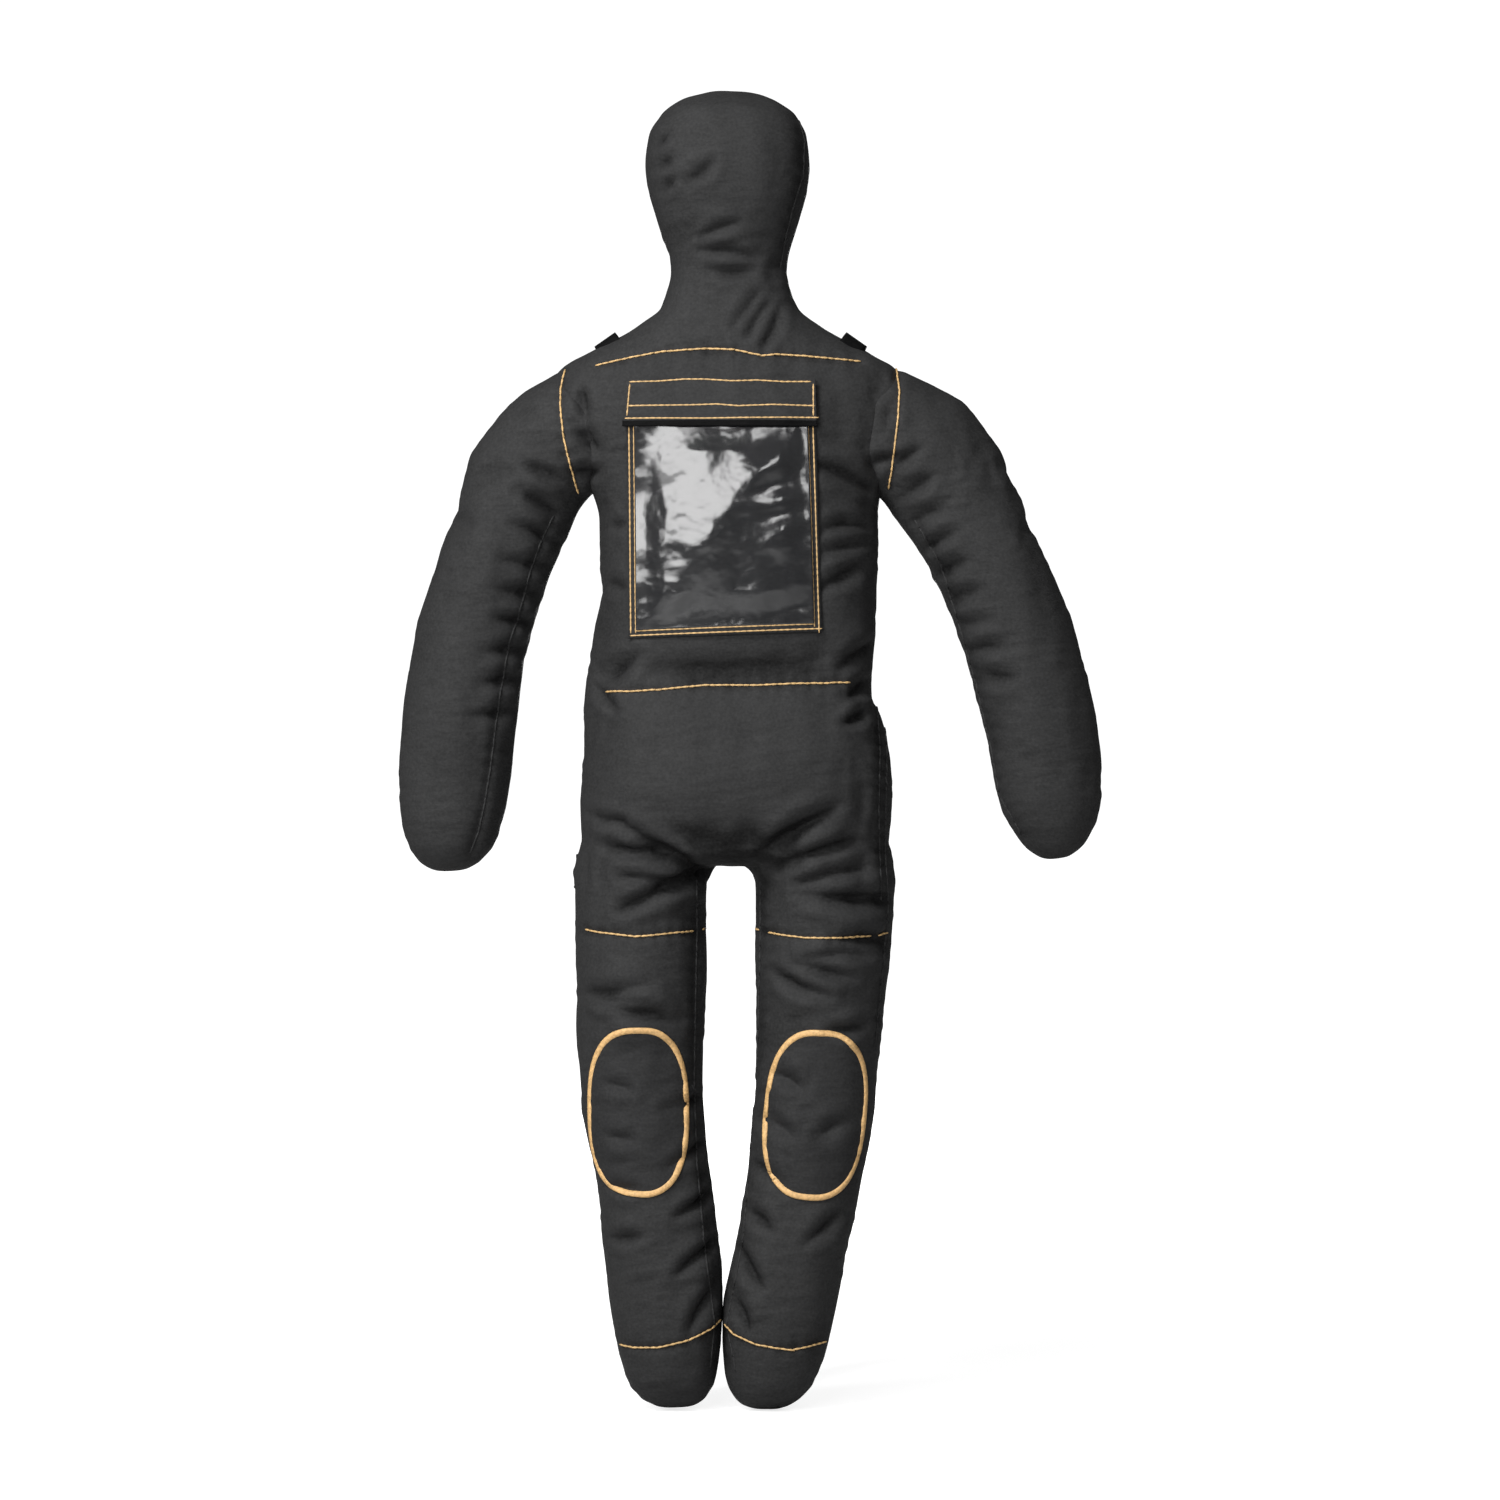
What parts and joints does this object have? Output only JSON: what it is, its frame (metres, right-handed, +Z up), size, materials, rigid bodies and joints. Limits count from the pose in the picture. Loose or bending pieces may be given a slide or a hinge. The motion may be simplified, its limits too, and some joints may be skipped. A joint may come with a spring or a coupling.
{
  "type": "grappling dummy",
  "caption": "Small stuffed cloth training dummy with bending limbs, a clear chest pocket under a flap, oval knee patches and webbing shoulder loops.",
  "frame": {"origin": "on the ground plane under the feet, at the middle of the dummy's width and depth", "axes": "+Z up along the body from the feet to the head; the chest and knees face -Y; +X is the dummy's left"},
  "size_m": [0.4738, 0.116, 0.9],
  "materials": {
    "body_cloth": "woven nylon, dark grey, matt",
    "patch_cloth": "heavy woven nylon patch, matt",
    "webbing": "black woven webbing and tape",
    "border_thread": "tan satin-stitch thread",
    "vinyl_film": "clear soft vinyl film, glossy",
    "stuffing": "textile stuffing, never seen"
  },
  "bodies": {
    "chest": {"chest_front_panel": "body_cloth", "chest_back_panel": "body_cloth", "shoulder_yoke": "body_cloth", "chest_filling": "stuffing", "pocket_backing": "body_cloth", "pocket_window": "vinyl_film", "chest_loop_strip": "webbing", "right_shoulder_loop": "webbing", "left_shoulder_loop": "webbing"},
    "pocket_flap": {"pocket_flap": "body_cloth", "flap_hook_strip": "webbing", "flap_edge_tape": "webbing"},
    "neck": {"neck_cover": "body_cloth", "neck_filling": "stuffing"},
    "head": {"head_cover": "body_cloth", "head_filling": "stuffing"},
    "pelvis": {"pelvis_front_panel": "body_cloth", "pelvis_back_panel": "body_cloth", "pelvis_filling": "stuffing"},
    "right_shoulder": {"right_sleeve_head": "body_cloth", "right_shoulder_wad": "stuffing"},
    "right_upper_arm": {"right_upper_sleeve": "body_cloth", "right_upper_arm_filling": "stuffing"},
    "right_forearm": {"right_lower_sleeve": "body_cloth", "right_forearm_filling": "stuffing"},
    "right_hip": {"right_hip_cover": "body_cloth", "right_hip_filling": "stuffing"},
    "right_thigh": {"right_thigh_cover": "body_cloth", "right_thigh_filling": "stuffing", "right_knee_patch": "patch_cloth", "right_knee_border": "border_thread"},
    "right_shin": {"right_shin_cover": "body_cloth", "right_toe_cap": "body_cloth", "right_shin_filling": "stuffing"},
    "left_shoulder": {"left_sleeve_head": "body_cloth", "left_shoulder_wad": "stuffing"},
    "left_upper_arm": {"left_upper_sleeve": "body_cloth", "left_upper_arm_filling": "stuffing"},
    "left_forearm": {"left_lower_sleeve": "body_cloth", "left_forearm_filling": "stuffing"},
    "left_hip": {"left_hip_cover": "body_cloth", "left_hip_filling": "stuffing"},
    "left_thigh": {"left_thigh_cover": "body_cloth", "left_thigh_filling": "stuffing", "left_knee_patch": "patch_cloth", "left_knee_border": "border_thread"},
    "left_shin": {"left_shin_cover": "body_cloth", "left_toe_cap": "body_cloth", "left_shin_filling": "stuffing"}
  },
  "joints": [
    {"name": "flap_lift", "type": "hinge", "parent": "chest", "child": "pocket_flap", "pos_m": [-0.0131, -0.0551, 0.697], "axis": [-1, 0, 0], "range_deg": [0, 150]},
    {"name": "neck_nod", "type": "hinge", "parent": "chest", "child": "neck", "pos_m": [-0.0131, 0.0015, 0.752], "axis": [1, 0, 0], "range_deg": [-25, 30]},
    {"name": "head_turn", "type": "hinge", "parent": "neck", "child": "head", "pos_m": [-0.0131, 0.0015, 0.7786], "axis": [0, 0, 1], "range_deg": [-60, 60]},
    {"name": "waist_bend", "type": "hinge", "parent": "chest", "child": "pelvis", "pos_m": [-0.0131, 0.0015, 0.488], "axis": [-1, 0, 0], "range_deg": [-15, 35]},
    {"name": "right_arm_swing", "type": "hinge", "parent": "chest", "child": "right_shoulder", "pos_m": [-0.1066, 0.0015, 0.66], "axis": [-1, 0, 0], "range_deg": [-45, 160]},
    {"name": "right_arm_raise", "type": "hinge", "parent": "right_shoulder", "child": "right_upper_arm", "pos_m": [-0.1531, 0.0015, 0.66], "axis": [0, 1, 0], "range_deg": [0, 70]},
    {"name": "right_elbow_bend", "type": "hinge", "parent": "right_upper_arm", "child": "right_forearm", "pos_m": [-0.1951, 0.0015, 0.494], "axis": [-0.9695, 0, 0.2453], "range_deg": [0, 90]},
    {"name": "right_hip_flex", "type": "hinge", "parent": "pelvis", "child": "right_hip", "pos_m": [-0.0736, 0.0015, 0.392], "axis": [-1, 0, 0], "range_deg": [-15, 90]},
    {"name": "right_hip_spread", "type": "hinge", "parent": "right_hip", "child": "right_thigh", "pos_m": [-0.07297, 0.0015, 0.345], "axis": [0, 1, 0], "range_deg": [0, 30]},
    {"name": "right_knee_bend", "type": "hinge", "parent": "right_thigh", "child": "right_shin", "pos_m": [-0.0711, 0.0015, 0.205], "axis": [1, 0, 0], "range_deg": [0, 90]},
    {"name": "left_arm_swing", "type": "hinge", "parent": "chest", "child": "left_shoulder", "pos_m": [0.0804, 0.0015, 0.66], "axis": [-1, 0, 0], "range_deg": [-45, 160]},
    {"name": "left_arm_raise", "type": "hinge", "parent": "left_shoulder", "child": "left_upper_arm", "pos_m": [0.1269, 0.0015, 0.66], "axis": [0, -1, 0], "range_deg": [0, 70]},
    {"name": "left_elbow_bend", "type": "hinge", "parent": "left_upper_arm", "child": "left_forearm", "pos_m": [0.1919, 0.0015, 0.494], "axis": [-0.9312, 0, -0.3646], "range_deg": [0, 90]},
    {"name": "left_hip_flex", "type": "hinge", "parent": "pelvis", "child": "left_hip", "pos_m": [0.0484, 0.0015, 0.392], "axis": [-1, 0, 0], "range_deg": [-15, 90]},
    {"name": "left_hip_spread", "type": "hinge", "parent": "left_hip", "child": "left_thigh", "pos_m": [0.04702, 0.0015, 0.345], "axis": [0, -1, 0], "range_deg": [0, 30]},
    {"name": "left_knee_bend", "type": "hinge", "parent": "left_thigh", "child": "left_shin", "pos_m": [0.0429, 0.0015, 0.205], "axis": [1, 0, 0], "range_deg": [0, 90]}
  ]
}
